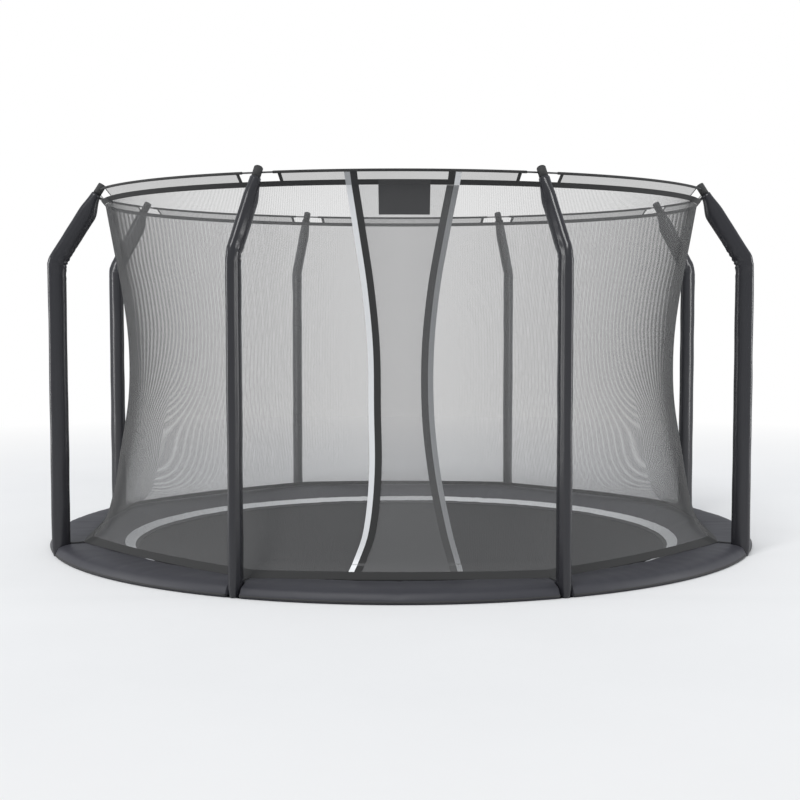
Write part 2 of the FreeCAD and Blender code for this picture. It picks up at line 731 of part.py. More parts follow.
def main():
    os.makedirs("parts", exist_ok=True)
    poles = pole_azimuths()
    for number, azimuth in enumerate(poles, 1):
        save("ring_segment_%d" % number, ring_segment(azimuth))
        save("pole_lower_%d" % number, pole_lower(azimuth))
        save("pole_upper_%d" % number, pole_upper(azimuth))
        save("pole_sleeve_%d" % number, pole_sleeve(azimuth))
    for number in range(LEG_COUNT):
        save("leg_%d" % (number + 1), leg(360.0 / LEG_COUNT * number))
    save("t_joints", *[t_joint(a) for a in poles])
    save("pole_caps", *[pole_cap(a) for a in poles])
    save("hoop_rods", *[hoop_rod(a) for a in poles])
    save("pole_clamps", *[pole_clamp(a) for a in poles])
    save("clamp_bolts", *[clamp_bolt(a) for a in poles])
    save("jumping_mat", jumping_mat())
    save("mat_rings", *[mat_ring(a) for a in spring_azimuths()])
    save("springs", *[spring(a) for a in spring_azimuths()])
    save("safety_pad", safety_pad())
    middles = [SEGMENT * k for k in range(POLE_COUNT)]
    for number, azimuth in enumerate(middles[1:], 1):
        save("net_panel_%d" % number, net_panel(azimuth))
    save("entrance_flap_outer", entrance_flap(1))
    save("entrance_flap_inner", entrance_flap(-1))
    save("entrance_edges", entrance_edge(1), entrance_edge(-1))
    save("net_top_band", *([net_top_band(a) for a in middles] + [net_ribbon(a) for a in middles]))
    save("net_hem", *([net_hem(a) for a in middles[1:]] + [flap_hem(1), flap_hem(-1)]))
    save("net_straps", *[net_strap(a) for a in poles])
    save("label_patch", label_patch())


if __name__ == "__main__":
    main()
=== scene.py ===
"""Looks of the sunken garden trampoline: padded poles, waisted net, spring cover and mat."""

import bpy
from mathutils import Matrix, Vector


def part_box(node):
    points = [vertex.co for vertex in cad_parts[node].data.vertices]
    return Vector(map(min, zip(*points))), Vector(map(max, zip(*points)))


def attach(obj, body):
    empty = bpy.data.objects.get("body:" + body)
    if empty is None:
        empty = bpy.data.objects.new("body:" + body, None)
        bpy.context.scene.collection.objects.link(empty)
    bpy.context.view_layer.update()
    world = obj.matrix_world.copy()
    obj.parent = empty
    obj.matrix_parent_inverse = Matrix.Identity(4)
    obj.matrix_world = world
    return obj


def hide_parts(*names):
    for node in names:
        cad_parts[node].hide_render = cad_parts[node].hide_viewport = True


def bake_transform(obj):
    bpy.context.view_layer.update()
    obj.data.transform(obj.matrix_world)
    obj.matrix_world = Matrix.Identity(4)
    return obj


bl_info = {
    "name": "Sunken garden trampoline",
    "version": (1, 0, 0),
    "blender": (4, 5, 0),
    "location": "3D View > Sidebar > Trampoline",
    "description": "Dresses the packed frame of a round sunken trampoline",
    "category": "Object",
}

import bmesh
import bpy
import math
from mathutils import Matrix, Vector, noise

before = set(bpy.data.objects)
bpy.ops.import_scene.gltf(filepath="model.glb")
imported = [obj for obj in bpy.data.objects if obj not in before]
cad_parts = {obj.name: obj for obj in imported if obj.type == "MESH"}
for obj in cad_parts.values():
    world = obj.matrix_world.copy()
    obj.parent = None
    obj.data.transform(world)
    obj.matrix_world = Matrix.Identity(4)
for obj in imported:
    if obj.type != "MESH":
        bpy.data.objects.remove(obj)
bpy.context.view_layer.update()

POLE_COUNT = 8
SEGMENT = 360.0 / POLE_COUNT
LAWN_Z = 0.165

# Pole axis, bend and hoop
POLE_RADIUS = 1.85344
POLE_BEND_Z = 1.634
POLE_BEND = 0.11
HOOP_RADIUS = 1.625
HOOP_Z = 1.993
RING_RADIUS = 1.809
RING_Z = 0.179

# Wales of the net's knit
WALE_DEPTH = 0.0016
WALE_PITCH = 0.008
WALE_ROWS = 44

# Camera's place to the right of the axis
CAMERA_SIDE = 0.036

# Radii at which the weave maps are to scale
NET_MAP_RADIUS = 1.55
BAND_MAP_RADIUS = 1.59

# Height above the lawn, radius midway between two poles, radius at a pole
NET_PROFILE = [
    (0.062, 1.638, 1.731),
    (0.120, 1.585, 1.640),
    (0.256, 1.545, 1.578),
    (0.509, 1.500, 1.529),
    (0.780, 1.464, 1.474),
    (1.060, 1.464, 1.464),
    (1.330, 1.495, 1.495),
    (1.560, 1.536, 1.536),
    (1.770, 1.572, 1.572),
]
# Height above the lawn and half opening of the outer and the inner entrance edge
ENTRANCE_EDGES = [
    (0.062, 0.238, 0.283),
    (0.120, 0.208, 0.267),
    (0.256, 0.161, 0.230),
    (0.509, 0.136, 0.180),
    (0.780, 0.139, 0.152),
    (1.060, 0.143, 0.152),
    (1.330, 0.167, 0.178),
    (1.560, 0.200, 0.218),
    (1.770, 0.232, 0.259),
]
# Radius and height above the lawn along the pad's top, from the rim to the inner hem
PAD_TOP = [
    (1.8745, 0.003),
    (1.8745, 0.016),
    (1.860, 0.042),
    (1.835, 0.054),
    (1.800, 0.0600),
    (1.730, 0.0604),
    (1.662, 0.0596),
    (1.624, 0.0530),
    (1.560, 0.0290),
    (1.494, 0.0020),
    (1.439, -0.0180),
    (1.422, -0.0262),
]
PAD_UNDER = [
    (1.422, -0.0315),
    (1.494, -0.0200),
    (1.624, 0.0345),
    (1.662, 0.0400),
    (1.842, 0.0400),
    (1.842, 0.003),
]


def polar(azimuth, radius, z=0.0):
    """Point at an azimuth in degrees from the front, positive towards +X."""
    turn = math.radians(azimuth)
    return Vector((radius * math.sin(turn), -radius * math.cos(turn), z))


def tangent(azimuth):
    return polar(azimuth + 90, 1)


def azimuth_of(point):
    return math.degrees(math.atan2(point.x, -point.y))


def pole_azimuths():
    return [SEGMENT * (k + 0.5) for k in range(POLE_COUNT)]


def smooth_row(rows, key):
    """Values at a key on a smooth curve through rows that start with their key."""
    key = min(max(key, rows[0][0]), rows[-1][0])
    place = 0
    while place < len(rows) - 2 and key > rows[place + 1][0]:
        place += 1
    low, high = rows[place], rows[place + 1]
    before = rows[place - 1] if place else low
    after = rows[place + 2] if place + 2 < len(rows) else high
    width = high[0] - low[0]
    t = (key - low[0]) / width
    values = []
    for k in range(1, len(low)):
        start = (high[k] - before[k]) / (high[0] - before[0]) * width
        end = (after[k] - low[k]) / (after[0] - low[0]) * width
        values.append(
            (2 * t ** 3 - 3 * t ** 2 + 1) * low[k] + (t ** 3 - 2 * t ** 2 + t) * start
            + (3 * t ** 2 - 2 * t ** 3) * high[k] + (t ** 3 - t ** 2) * end
        )
    return values


def net_radius(azimuth, z):
    """Radius of the net, round at the waist and eight-sided at the hem."""
    middle, corner = smooth_row(NET_PROFILE, z - LAWN_Z)
    from_middle = (azimuth + SEGMENT / 2) % SEGMENT - SEGMENT / 2
    return middle + (corner - middle) * (abs(from_middle) / (SEGMENT / 2)) ** 2


def edge_offset(side, z):
    """Half opening at a height; side 1 is the outer flap's edge, -1 the inner one's."""
    outer, inner = smooth_row(ENTRANCE_EDGES, z - LAWN_Z)
    return outer if side == 1 else inner


def edge_azimuth(side, z, inwards=0.0):
    radius = smooth_row(NET_PROFILE, z - LAWN_Z)[0]
    return -side * math.degrees(math.asin((edge_offset(side, z) - inwards) / radius))


# Materials

class Wire:
    """A node's output that ordinary sums work on."""

    def __init__(self, graph, socket):
        self.graph = graph
        self.socket = socket

    def math(self, operation, first, second=0.0):
        return self.graph.node("ShaderNodeMath", {"operation": operation}, {0: first, 1: second})

    def __add__(self, other):
        return self.math("ADD", self, other)

    def __radd__(self, other):
        return self.math("ADD", other, self)

    def __sub__(self, other):
        return self.math("SUBTRACT", self, other)

    def __rsub__(self, other):
        return self.math("SUBTRACT", other, self)

    def __mul__(self, other):
        return self.math("MULTIPLY", self, other)

    def __rmul__(self, other):
        return self.math("MULTIPLY", other, self)

    def __truediv__(self, other):
        return self.math("DIVIDE", self, other)

    def __pow__(self, other):
        return self.math("POWER", self, other)

    def sine(self):
        return self.math("SINE", self)

    def clamped(self):
        return self.graph.node("ShaderNodeClamp", {}, {"Value": self})


class Finish:
    """A material being drawn as nodes on one Principled shader."""

    def __init__(self, name):
        self.material = bpy.data.materials.new(name)
        self.material.use_nodes = True
        self.tree = self.material.node_tree
        self.tree.nodes.clear()
        self.output = self.tree.nodes.new("ShaderNodeOutputMaterial")

    def node(self, kind, settings, inputs, output=0):
        """One node: its settings first, then values or wires into its sockets."""
        made = self.tree.nodes.new(kind)
        for key, value in settings.items():
            if key == "stops":
                self.set_stops(made, value)
            else:
                setattr(made, key, value)
        for key, value in inputs.items():
            if isinstance(value, Wire):
                self.tree.links.new(value.socket, made.inputs[key])
            else:
                made.inputs[key].default_value = value
        return Wire(self, made.outputs[output])

    def set_stops(self, ramp, stops):
        elements = ramp.color_ramp.elements
        while len(elements) < len(stops):
            elements.new(0.5)
        for element, (position, colour) in zip(elements, stops):
            element.position = position
            element.color = colour

    def place(self):
        return self.node("ShaderNodeTexCoord", {}, {}, "Object")

    def cloth_place(self):
        return self.node("ShaderNodeUVMap", {"uv_map": "weave"}, {})

    def noise(self, place, scale, detail=3.0, roughness=0.5):
        inputs = {"Vector": place, "Scale": scale, "Detail": detail, "Roughness": roughness}
        return self.node("ShaderNodeTexNoise", {}, inputs)

    def split(self, place):
        node = self.tree.nodes.new("ShaderNodeSeparateXYZ")
        self.tree.links.new(place.socket, node.inputs[0])
        return [Wire(self, socket) for socket in node.outputs]

    def mix(self, factor, first, second):
        settings = {"data_type": "RGBA"}
        return self.node("ShaderNodeMix", settings, {0: factor, 6: first, 7: second}, 2)

    def bump(self, height, strength, distance):
        return self.node("ShaderNodeBump", {}, {"Height": height, "Strength": strength, "Distance": distance})

    def weave(self, place, pitch):
        """Plain weave of two thread directions, 0 in the gaps and 1 on the threads."""
        across, along, _ = self.split(place)
        turn = 2 * math.pi / pitch
        warp = (across * turn).sine() * 0.5 + 0.5
        weft = (along * turn).sine() * 0.5 + 0.5
        return self.node("ShaderNodeMath", {"operation": "MAXIMUM"}, {0: warp, 1: weft})

    def principled(self, inputs):
        shader = self.node("ShaderNodeBsdfPrincipled", {}, inputs)
        self.tree.links.new(shader.socket, self.output.inputs["Surface"])
        return self.material


def shade(value, alpha=1.0):
    return (value, value, value, alpha)


def galvanised_steel():
    finish = Finish("galvanised_steel")
    place = finish.place()
    spangle = finish.node("ShaderNodeTexVoronoi", {}, {"Vector": place, "Scale": 160.0}, "Color")
    grain = finish.node("ShaderNodeRGBToBW", {}, {"Color": spangle})
    cloud = finish.noise(place, 9.0)
    colour = finish.mix(grain * 0.55 + cloud * 0.3, (0.36, 0.37, 0.38, 1), (0.62, 0.63, 0.64, 1))
    rough = 0.34 + grain * 0.16
    return finish.principled({"Base Color": colour, "Metallic": 0.9, "Roughness": rough})


def zinc_wire():
    finish = Finish("zinc_wire")
    cloud = finish.noise(finish.place(), 60.0)
    colour = finish.mix(cloud, (0.45, 0.46, 0.47, 1), (0.7, 0.71, 0.73, 1))
    return finish.principled({"Base Color": colour, "Metallic": 1.0, "Roughness": 0.25 + cloud * 0.15})


def sleeve_vinyl(colour):
    finish = Finish("sleeve_vinyl")
    place = finish.place()
    cloud = finish.noise(place, 7.0, 4.0)
    grain = finish.noise(place, 420.0, 2.0)
    creases = finish.noise(place, 26.0, 3.0, 0.6)
    tone = finish.mix(cloud, tuple(c * 0.75 for c in colour) + (1,), tuple(c * 1.5 for c in colour) + (1,))
    bump = finish.bump(creases * 0.8 + grain * 0.12, 0.35, 0.004)
    return finish.principled({
        "Base Color": tone, "Roughness": 0.24 + cloud * 0.12, "Coat Weight": 0.5,
        "Coat Roughness": 0.16, "Normal": bump,
    })


def cap_plastic():
    finish = Finish("cap_plastic")
    grain = finish.noise(finish.place(), 300.0, 2.0)
    bump = finish.bump(grain, 0.2, 0.001)
    tone = finish.mix(grain, shade(0.018), shade(0.035))
    return finish.principled({"Base Color": tone, "Roughness": 0.42 + grain * 0.1, "Normal": bump})


def rod_fibreglass():
    finish = Finish("rod_fibreglass")
    streak = finish.noise(finish.place(), 140.0, 2.0)
    tone = finish.mix(streak, shade(0.02), shade(0.045))
    return finish.principled({"Base Color": tone, "Roughness": 0.3 + streak * 0.15})


def mat_weave(colour):
    finish = Finish("mat_weave")
    place = finish.place()
    weave = finish.weave(place, 0.0042)
    cloud = finish.noise(place, 2.2, 4.0)
    dark = tuple(c * 0.75 for c in colour) + (1,)
    light = tuple(c * 1.3 for c in colour) + (1,)
    tone = finish.mix(weave * 0.35 + cloud * 0.6, dark, light)
    return finish.principled({
        "Base Color": tone, "Roughness": 0.62 - weave * 0.1, "Normal": finish.bump(weave, 0.3, 0.0006),
        "Specular IOR Level": 0.02,
    })


def pad_vinyl(colour):
    finish = Finish("pad_vinyl")
    place = finish.place()
    cloud = finish.noise(place, 3.2, 4.0)
    puckers = finish.noise(place, 11.0, 4.0, 0.6)
    scrim = finish.weave(place, 0.0031)
    tone = finish.mix(cloud, tuple(c * 0.8 for c in colour) + (1,), tuple(c * 1.35 for c in colour) + (1,))
    bump = finish.bump(puckers * 1.0 + scrim * 0.03, 0.5, 0.010)
    return finish.principled({
        "Base Color": tone, "Roughness": 0.28 + cloud * 0.14, "Specular IOR Level": 0.38, "Normal": bump,
    })


def net_mesh(name, colour, cover, contrast):
    """Knitted mesh: mostly holes, with the share covered by thread as its opacity."""
    finish = Finish(name)
    place = finish.cloth_place()
    across, along, _ = finish.split(place)
    turn = 2 * math.pi / 0.0036
    cells = (across * turn).sine() * (along * turn * 0.8 + across * turn * 0.5).sine()
    cloud = finish.noise(finish.place(), 4.0, 3.0)
    opacity = cover + cells * contrast + (cloud - 0.5) * 0.06
    tone = finish.mix(cloud, tuple(c * 0.85 for c in colour) + (1,), tuple(c * 1.15 for c in colour) + (1,))
    return finish.principled({"Base Color": tone, "Roughness": 0.8, "Specular IOR Level": 0.02,
                              "Alpha": opacity.clamped()})


def webbing(name, colour, pitch=0.0024):
    finish = Finish(name)
    place = finish.cloth_place()
    weave = finish.weave(place, pitch)
    cloud = finish.noise(finish.place(), 14.0)
    dark = tuple(c * 0.7 for c in colour) + (1,)
    light = tuple(c * 1.25 for c in colour) + (1,)
    tone = finish.mix(weave * 0.6 + cloud * 0.3, dark, light)
    return finish.principled({
        "Base Color": tone, "Roughness": 0.75 - weave * 0.1, "Normal": finish.bump(weave, 0.35, 0.0005),
    })


def reflective_tape(name, colour):
    finish = Finish(name)
    place = finish.cloth_place()
    across, along, _ = finish.split(place)
    turn = 2 * math.pi / 0.004
    lozenge = (across * turn + along * turn).sine() * (across * turn - along * turn).sine() * 0.5 + 0.5
    cloud = finish.noise(finish.place(), 9.0)
    tone = finish.mix(lozenge * 0.4 + cloud * 0.5, tuple(c * 0.85 for c in colour) + (1,), colour + (1,))
    return finish.principled({
        "Base Color": tone, "Roughness": 0.4 + cloud * 0.1, "Metallic": 0.1,
        "Normal": finish.bump(lozenge, 0.15, 0.0004),
    })


# Meshes

def new_piece(name, bm, material, body="frame", replaces=(), smooth=True):
    """Object at the origin with its place in its mesh, riding on a body."""
    mesh = bpy.data.meshes.new(name)
    bm.to_mesh(mesh)
    bm.free()
    mesh.materials.append(material)
    if smooth:
        mesh.shade_smooth()
    piece = bpy.data.objects.new(name, mesh)
    bpy.context.scene.collection.objects.link(piece)
    if body:
        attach(piece, body)
    if replaces:
        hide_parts(*replaces)
    return piece


def outward(bm):
    bmesh.ops.remove_doubles(bm, verts=bm.verts, dist=1e-6)
    bmesh.ops.recalc_face_normals(bm, faces=bm.faces)


def close_ends(bm):
    bmesh.ops.holes_fill(bm, edges=[edge for edge in bm.edges if edge.is_boundary], sides=0)


class TubeRun:
    """A tube drawn from a ring of points by straight runs and turns."""

    def __init__(self, radius, start, direction, sides, bm=None):
        self.bm = bm or bmesh.new()
        self.radius = radius
        self.position = start.copy()
        self.direction = direction.normalized()
        place = Matrix.Translation(start) @ self.direction.to_track_quat("Z", "Y").to_matrix().to_4x4()
        made = bmesh.ops.create_circle(self.bm, segments=sides, radius=radius, matrix=place)
        self.rim = made["verts"]
        self.edges = list({edge for vert in self.rim for edge in vert.link_edges})

    def straight(self, length, steps=1):
        for _ in range(steps):
            step = self.direction * (length / steps)
            made = bmesh.ops.extrude_edge_only(self.bm, edges=self.edges)["geom"]
            self.rim = [item for item in made if isinstance(item, bmesh.types.BMVert)]
            self.edges = [item for item in made if isinstance(item, bmesh.types.BMEdge)
                          and all(vert in self.rim for vert in item.verts)]
            bmesh.ops.translate(self.bm, verts=self.rim, vec=step)
            self.position = self.position + step
        return self

    def turn(self, centre, axis, degrees, steps):
        spun = bmesh.ops.spin(
            self.bm, geom=self.rim + self.edges, cent=centre, axis=axis, angle=math.radians(degrees),
            steps=steps, use_duplicate=False,
        )["geom_last"]
        self.rim = [item for item in spun if isinstance(item, bmesh.types.BMVert)]
        self.edges = [item for item in spun if isinstance(item, bmesh.types.BMEdge)]
        rotation = Matrix.Rotation(math.radians(degrees), 4, axis)
        self.position = centre + rotation @ (self.position - centre)
        self.direction = rotation @ self.direction
        return self

    def resize(self, radius):
        """Scales the open rim about its centre."""
        factor = radius / self.radius
        shift = Matrix.Translation(self.position)
        bmesh.ops.scale(self.bm, vec=(factor,) * 3, space=shift.inverted(), verts=self.rim)
        self.radius = radius
        return self


def pole_run(azimuth, radius, bottom_z, past_bend, sides, step=None):
    """Tube along a pole's axis, from a height to a distance past its bend."""
    rise = math.degrees(math.atan2(POLE_RADIUS - HOOP_RADIUS, HOOP_Z - POLE_BEND_Z))
    reach = POLE_BEND * math.tan(math.radians(rise / 2))
    run = TubeRun(radius, polar(azimuth, POLE_RADIUS, bottom_z), Vector((0, 0, 1)), sides)
    lower = POLE_BEND_Z - reach - bottom_z
    run.straight(lower, max(1, round(lower / step)) if step else 1)
    centre = polar(azimuth, POLE_RADIUS - POLE_BEND, POLE_BEND_Z - reach)
    run.turn(centre, -tangent(azimuth), rise, 8)
    upper = past_bend - reach
    run.straight(upper, max(1, round(upper / step)) if step else 1)
    return run


def net_grid(columns, rows, low_z, high_z, azimuths_at, inset_at):
    """Sheet of the net between two heights, with a weave map in metres."""
    bm = bmesh.new()
    layer = bm.loops.layers.uv.new("weave")
    bmesh.ops.create_grid(bm, x_segments=columns, y_segments=rows, size=0.5)
    for vert in bm.verts:
        across, up = vert.co.x + 0.5, vert.co.y + 0.5
        z = low_z + (high_z - low_z) * up
        start, end = azimuths_at(z)
        azimuth = start + (end - start) * across
        vert.co = polar(azimuth, net_radius(azimuth, z) - inset_at(across, up), z)
    map_weave(bm, layer, NET_MAP_RADIUS)
    return bm


def map_weave(bm, layer, radius):
    """Weave map in metres along the net's round and up."""
    for face in bm.faces:
        middle = azimuth_of(face.calc_center_median())
        for loop in face.loops:
            from_face = (azimuth_of(loop.vert.co) - middle + 180) % 360 - 180
            loop[layer].uv = (math.radians(middle + from_face) * radius, loop.vert.co.z)


def net_wales(name, columns, low_z, high_z, azimuths_at, inset_at):
    """Upright wales of the knit, which close the mesh where it is seen along the cloth."""
    bm = net_grid(columns, WALE_ROWS, low_z, high_z, azimuths_at, inset_at)
    level = [edge for edge in bm.edges if abs(edge.verts[0].co.z - edge.verts[1].co.z) < 1e-6]
    upright = [edge for edge in bm.edges if abs(edge.verts[0].co.z - edge.verts[1].co.z) >= 1e-6]
    made = bmesh.ops.extrude_edge_only(bm, edges=upright)["geom"]
    for item in made:
        if isinstance(item, bmesh.types.BMVert):
            item.co -= polar(azimuth_of(item.co), WALE_DEPTH)
    bmesh.ops.delete(bm, geom=level, context="EDGES")
    map_weave(bm, bm.loops.layers.uv["weave"], NET_MAP_RADIUS)
    return new_piece(name, bm, finish_named("net_wale"), smooth=False)


# Add-on

class TrampolineSizes(bpy.types.PropertyGroup):
    sleeve_width: bpy.props.FloatProperty(
        name="Sleeve width", description="Width of the oval sleeve along the hoop", default=0.058, unit="LENGTH")
    sleeve_depth: bpy.props.FloatProperty(
        name="Sleeve depth", description="Depth of the oval sleeve towards the net", default=0.092, unit="LENGTH")
    sleeve_set_in: bpy.props.FloatProperty(
        name="Sleeve set-in", description="Shift of the oval towards the net", default=0.0125, unit="LENGTH")
    sleeve_neck: bpy.props.FloatProperty(
        name="Sleeve neck", description="Width where it is drawn in under the cap", default=0.050, unit="LENGTH")
    hem_height: bpy.props.FloatProperty(
        name="Hem height", description="Width of the webbing at the foot of the net", default=0.028, unit="LENGTH")
    ribbon_height: bpy.props.FloatProperty(
        name="Ribbon height", description="Width of the ribbon under the top band", default=0.022, unit="LENGTH")
    band_height: bpy.props.FloatProperty(
        name="Band height", description="Height of the mesh strip over the ribbon", default=0.032, unit="LENGTH")
    window_half: bpy.props.FloatProperty(
        name="Window half width", description="Half width of the opening at a pole", default=0.095, unit="LENGTH")
    piping_radius: bpy.props.FloatProperty(
        name="Piping radius", description="Radius of the piping round the hoop", default=0.0062, unit="LENGTH")
    camera_distance: bpy.props.FloatProperty(
        name="Camera distance", description="From the axis to the camera", default=7.643, unit="LENGTH")
    camera_height: bpy.props.FloatProperty(
        name="Camera height", description="Above the lawn", default=1.243, unit="LENGTH")
    camera_pitch: bpy.props.FloatProperty(
        name="Camera pitch", description="Degrees below level", default=3.80)
    camera_lens: bpy.props.FloatProperty(
        name="Camera lens", description="Focal length in millimetres on a 36 mm sensor", default=62.9)


class TrampolineColours(bpy.types.PropertyGroup):
    sleeve: bpy.props.FloatVectorProperty(
        name="Sleeve", description="Vinyl of the pole sleeves", subtype="COLOR", default=(0.012, 0.012, 0.013))
    pad: bpy.props.FloatVectorProperty(
        name="Pad", description="Vinyl of the spring cover", subtype="COLOR", default=(0.013, 0.0135, 0.016))
    mat: bpy.props.FloatVectorProperty(
        name="Mat", description="Woven jumping mat", subtype="COLOR", default=(0.017, 0.017, 0.0175))
    net: bpy.props.FloatVectorProperty(
        name="Net", description="Thread of the net", subtype="COLOR", default=(0.035, 0.035, 0.035))
    webbing: bpy.props.FloatVectorProperty(
        name="Webbing", description="Hem, straps and ribbon", subtype="COLOR", default=(0.018, 0.018, 0.019))
    bright_tape: bpy.props.FloatVectorProperty(
        name="Bright tape", description="Reflective tape", subtype="COLOR", default=(0.78, 0.79, 0.80))
    # The same reflective tape made darker: painted shade for the tape turned from the light, while bright_tape is
    # the tape's own colour
    tape_painted_shade: bpy.props.FloatVectorProperty(
        name="Tape in painted shade", description="Reflective tape turned from the light", subtype="COLOR",
        default=(0.42, 0.43, 0.44))


class TRAMPOLINE_OT_finishes(bpy.types.Operator):
    """Make the materials and put them on the steel of the frame"""
    bl_idname = "trampoline.finishes"
    bl_label = "Finishes"

    def execute(self, context):
        colours = context.scene.trampoline_colours
        steel = galvanised_steel()
        zinc = zinc_wire()
        sleeve_vinyl(tuple(colours.sleeve))
        cap_plastic()
        rod_fibreglass()
        mat_weave(tuple(colours.mat))
        pad_vinyl(tuple(colours.pad))
        net_mesh("net_mesh", tuple(colours.net), 0.43, 0.12)
        net_mesh("net_wale", tuple(colours.net), 0.85, 0.10)
        net_mesh("band_mesh", (0.05, 0.05, 0.05), 0.45, 0.10)
        webbing("webbing", tuple(colours.webbing))
        webbing("label_cloth", (0.045, 0.045, 0.046), 0.0016)
        reflective_tape("bright_tape", tuple(colours.bright_tape))
        # Second copy of the reflective tape in a darker colour: painted shade on the tape turned from the light
        reflective_tape("tape_painted_shade", tuple(colours.tape_painted_shade))
        for name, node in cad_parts.items():
            node.data.materials.clear()
            node.data.materials.append(zinc if name in ("mat_rings", "clamp_bolts") else steel)
        return {"FINISHED"}


def finish_named(name):
    return bpy.data.materials[name]


class TRAMPOLINE_OT_poles(bpy.types.Operator):
    """Make the eight poles with their sleeves and caps"""
    bl_idname = "trampoline.poles"
    bl_label = "Poles"

    def execute(self, context):
        sizes = context.scene.trampoline_sizes
        for number, azimuth in enumerate(pole_azimuths(), 1):
            self.make_pole(number, azimuth)
            self.make_sleeve(number, azimuth, sizes)
            self.make_cap(number, azimuth)
        return {"FINISHED"}

    def make_pole(self, number, azimuth):
        hoop_distance = math.hypot(POLE_RADIUS - HOOP_RADIUS, HOOP_Z - POLE_BEND_Z)
        run = pole_run(azimuth, 0.019, 1.18, hoop_distance - 0.009, 28)
        outward(run.bm)
        new_piece("pole_upper_tube_%d" % number, run.bm, finish_named("galvanised_steel"),
                  replaces=["pole_upper_%d" % number])

    def make_sleeve(self, number, azimuth, sizes):
        rise = math.atan2(POLE_RADIUS - HOOP_RADIUS, HOOP_Z - POLE_BEND_Z)
        past_bend = math.hypot(POLE_RADIUS - HOOP_RADIUS, HOOP_Z - POLE_BEND_Z) - 0.0315
        run = pole_run(azimuth, sizes.sleeve_width / 2, LAWN_Z + 0.001, past_bend, 36, 0.013)
        close_ends(run.bm)
        outward(run.bm)
        self.make_oval(run.bm, azimuth, rise, past_bend, sizes)
        self.wrinkle(run.bm, azimuth, number)
        sleeve = new_piece("sleeve_%d" % number, run.bm, finish_named("sleeve_vinyl"),
                           replaces=["pole_sleeve_%d" % number])

    def make_oval(self, bm, azimuth, rise, past_bend, sizes):
        """Deepens the round tube towards the net, draws in its foot and its neck, presses in the seams."""
        reach = POLE_BEND * math.tan(rise / 2)
        bend_z = POLE_BEND_Z - reach
        radial, side = polar(azimuth, 1), tangent(azimuth)
        for vert in bm.verts:
            out = vert.co.dot(radial) - (POLE_RADIUS - POLE_BEND)
            up = vert.co.z - bend_z
            turn = min(max(math.atan2(up, out), 0.0), rise)
            outward_way = radial * math.cos(turn) + Vector((0, 0, math.sin(turn)))
            across = out * math.cos(turn) + up * math.sin(turn) - POLE_BEND
            along = up * math.cos(rise) - out * math.sin(rise)
            to_neck = max(0.0, 1 - max(0.0, past_bend - reach - along) / 0.11) if turn == rise else 0.0
            neck = to_neck * to_neck * (3 - 2 * to_neck)
            from_foot = min(1.0, (vert.co.z - LAWN_Z) / 0.055)
            foot = 0.80 + 0.20 * from_foot * (2 - from_foot)
            sideways = vert.co.dot(side)
            seam = math.exp(-((across / sizes.sleeve_width - 0.26) * 16) ** 2) * 0.0022
            width = 1 + (sizes.sleeve_neck / sizes.sleeve_width - 1) * neck
            depth = sizes.sleeve_depth / sizes.sleeve_width
            depth += (sizes.sleeve_neck / sizes.sleeve_width - depth) * neck
            shift = across * (depth * foot - 1) - sizes.sleeve_set_in * (1 - neck)
            pinch = math.copysign(seam, sideways) * (1 - neck)
            vert.co += outward_way * shift + side * (sideways * (width * foot - 1) - pinch)

    def wrinkle(self, bm, azimuth, number):
        """Buckles on the inner side of the bend and a slow unevenness along the foam."""
        bm.normal_update()
        inner = -polar(azimuth, 1)
        moves = []
        for vert in bm.verts:
            facing = vert.normal.dot(inner)
            near_bend = math.exp(-((vert.co.z - POLE_BEND_Z) / 0.07) ** 2)
            wave = math.sin(vert.co.z * 330 + 3 * noise.noise(vert.co * 14 + Vector((number, 0, 0))))
            uneven = noise.noise(vert.co * 5.5 + Vector((0, 0, number * 3.1)))
            folds = noise.noise(Vector((vert.co.x * 22, vert.co.y * 22, vert.co.z * 5 + number)))
            crease = noise.noise(vert.co * 34 + Vector((0, number * 1.7, 0)))
            depth = near_bend * (0.0022 * wave * max(0.15, facing + 0.4) + 0.0030 * crease)
            moves.append(vert.normal * (depth + 0.0018 * uneven + 0.0012 * folds))
        for vert, move in zip(bm.verts, moves):
            vert.co += move

    def make_cap(self, number, azimuth):
        lean = (polar(azimuth, HOOP_RADIUS, HOOP_Z) - polar(azimuth, POLE_RADIUS, POLE_BEND_Z)).normalized()
        hoop = polar(azimuth, HOOP_RADIUS, HOOP_Z)
        run = TubeRun(0.0190, hoop - lean * 0.031, lean, 32)
        run.straight(0.0).resize(0.0205)
        run.straight(0.0562)
        run.straight(0.0025).resize(0.0185)
        run.straight(0.0008).resize(0.015)
        close_ends(run.bm)
        outward(run.bm)
        replaces = ["pole_caps"]
        new_piece("pole_cap_%d" % number, run.bm, finish_named("cap_plastic"), replaces=replaces)


class TRAMPOLINE_OT_hoop(bpy.types.Operator):
    """Make the hoop's rods and the ring's steel as round tubes"""
    bl_idname = "trampoline.hoop"
    bl_label = "Hoop and ring"

    def execute(self, context):
        for number, azimuth in enumerate(pole_azimuths(), 1):
            rod = self.arc(azimuth, HOOP_RADIUS, HOOP_Z, 0.004, 12, 0.0)
            new_piece("hoop_rod_%d" % number, rod.bm, finish_named("rod_fibreglass"),
                      replaces=["hoop_rods"])
            tube = self.arc(azimuth, RING_RADIUS - 0.0008, RING_Z, 0.021, 28, 0.05)
            new_piece("ring_tube_%d" % number, tube.bm, finish_named("galvanised_steel"),
                      replaces=["ring_segment_%d" % number])
        return {"FINISHED"}

    def arc(self, azimuth, radius, z, tube_radius, sides, trim):
        run = TubeRun(tube_radius, polar(azimuth + trim, radius, z), tangent(azimuth + trim), sides)
        run.turn(Vector((0, 0, z)), Vector((0, 0, 1)), SEGMENT - 2 * trim, 24)
        close_ends(run.bm)
        outward(run.bm)
        return run


